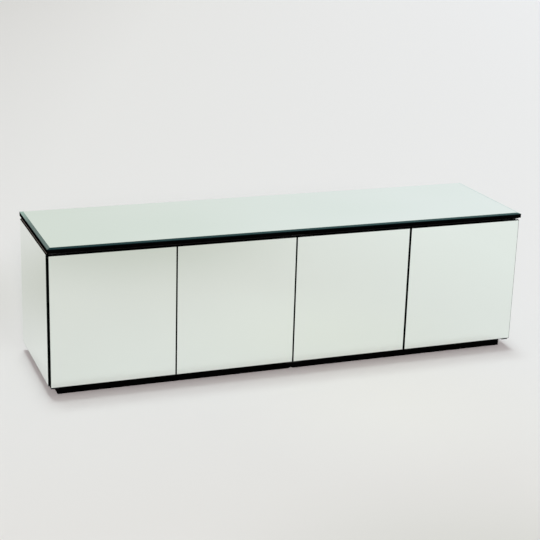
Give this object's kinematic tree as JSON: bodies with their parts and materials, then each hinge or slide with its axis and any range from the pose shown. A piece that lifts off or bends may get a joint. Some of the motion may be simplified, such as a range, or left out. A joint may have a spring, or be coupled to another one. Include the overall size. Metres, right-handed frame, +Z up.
{
  "type": "mirrored sideboard",
  "caption": "Low mirror-clad sideboard with hinged push-open doors, a bevelled mirror top on a black board and a recessed black plinth, for storage behind plain mirrored fronts.",
  "frame": {"origin": "middle of the bounding box's bottom, on the floor", "axes": "+X to the right along the front, +Y from the doors to the back, +Z up"},
  "size_m": [1.83, 0.5, 0.549],
  "materials": {
    "mirror": "silvered float glass",
    "black_lacquer": "black satin lacquer",
    "black_hardboard": "black painted, matt",
    "plywood": "raw birch plywood",
    "zinc_steel": "bright zinc plate",
    "black_steel": "black zinc plate, satin",
    "black_nylon": "moulded, fine texture",
    "pale_nylon": "natural nylon",
    "soft_rubber": "soft grey rubber"
  },
  "bodies": {
    "carcase": {"back_panel": "black_hardboard", "carcase_bottom": "black_lacquer", "carcase_tongues": "plywood", "carcase_top": "black_lacquer", "centre_partition": "black_lacquer", "latch_1_housing": "black_nylon", "latch_2_housing": "black_nylon", "latch_3_housing": "black_nylon", "latch_4_housing": "black_nylon", "left_end_board": "black_lacquer", "left_end_mirror": "mirror", "left_pivot_plates": "black_steel", "left_shelf": "black_lacquer", "middle_pivot_plates": "black_steel", "pivot_washers": "pale_nylon", "plinth_back_rail": "black_lacquer", "plinth_centre_brace": "black_lacquer", "plinth_front_left": "black_lacquer", "plinth_front_right": "black_lacquer", "plinth_glides": "black_nylon", "plinth_left_rail": "black_lacquer", "plinth_right_rail": "black_lacquer", "right_end_board": "black_lacquer", "right_end_mirror": "mirror", "right_pivot_plates": "black_steel", "right_shelf": "black_lacquer", "shelf_pins": "zinc_steel", "top_board": "black_lacquer", "top_mirror": "mirror"},
    "door_1": {"door_1_board": "black_lacquer", "door_1_bumpers": "soft_rubber", "door_1_hinge_leaves": "zinc_steel", "door_1_mirror": "mirror", "door_1_strike": "zinc_steel"},
    "door_2": {"door_2_board": "black_lacquer", "door_2_bumpers": "soft_rubber", "door_2_hinge_leaves": "zinc_steel", "door_2_mirror": "mirror", "door_2_strike": "zinc_steel"},
    "door_3": {"door_3_board": "black_lacquer", "door_3_bumpers": "soft_rubber", "door_3_hinge_leaves": "zinc_steel", "door_3_mirror": "mirror", "door_3_strike": "zinc_steel"},
    "door_4": {"door_4_board": "black_lacquer", "door_4_bumpers": "soft_rubber", "door_4_hinge_leaves": "zinc_steel", "door_4_mirror": "mirror", "door_4_strike": "zinc_steel"},
    "plunger_1": {"latch_1_plunger": "pale_nylon"},
    "plunger_2": {"latch_2_plunger": "pale_nylon"},
    "plunger_3": {"latch_3_plunger": "pale_nylon"},
    "plunger_4": {"latch_4_plunger": "pale_nylon"}
  },
  "joints": [
    {"name": "door_1_hinge", "type": "hinge", "parent": "carcase", "child": "door_1", "pos_m": [-0.896, -0.2325, 0.27775], "axis": [0, 0, -1], "range_deg": [0, 90]},
    {"name": "door_2_hinge", "type": "hinge", "parent": "carcase", "child": "door_2", "pos_m": [-0.01825, -0.2325, 0.27775], "axis": [0, 0, 1], "range_deg": [0, 90]},
    {"name": "door_3_hinge", "type": "hinge", "parent": "carcase", "child": "door_3", "pos_m": [0.01325, -0.2325, 0.27775], "axis": [0, 0, -1], "range_deg": [0, 90]},
    {"name": "door_4_hinge", "type": "hinge", "parent": "carcase", "child": "door_4", "pos_m": [0.9, -0.2325, 0.27775], "axis": [0, 0, 1], "range_deg": [0, 90]},
    {"name": "latch_1_push", "type": "slide", "parent": "carcase", "child": "plunger_1", "axis": [0, 1, 0], "range_m": [0, 0.003], "stiffness_N_per_m": 300},
    {"name": "latch_2_push", "type": "slide", "parent": "carcase", "child": "plunger_2", "axis": [0, 1, 0], "range_m": [0, 0.003], "stiffness_N_per_m": 300},
    {"name": "latch_3_push", "type": "slide", "parent": "carcase", "child": "plunger_3", "axis": [0, 1, 0], "range_m": [0, 0.003], "stiffness_N_per_m": 300},
    {"name": "latch_4_push", "type": "slide", "parent": "carcase", "child": "plunger_4", "axis": [0, 1, 0], "range_m": [0, 0.003], "stiffness_N_per_m": 300}
  ]
}
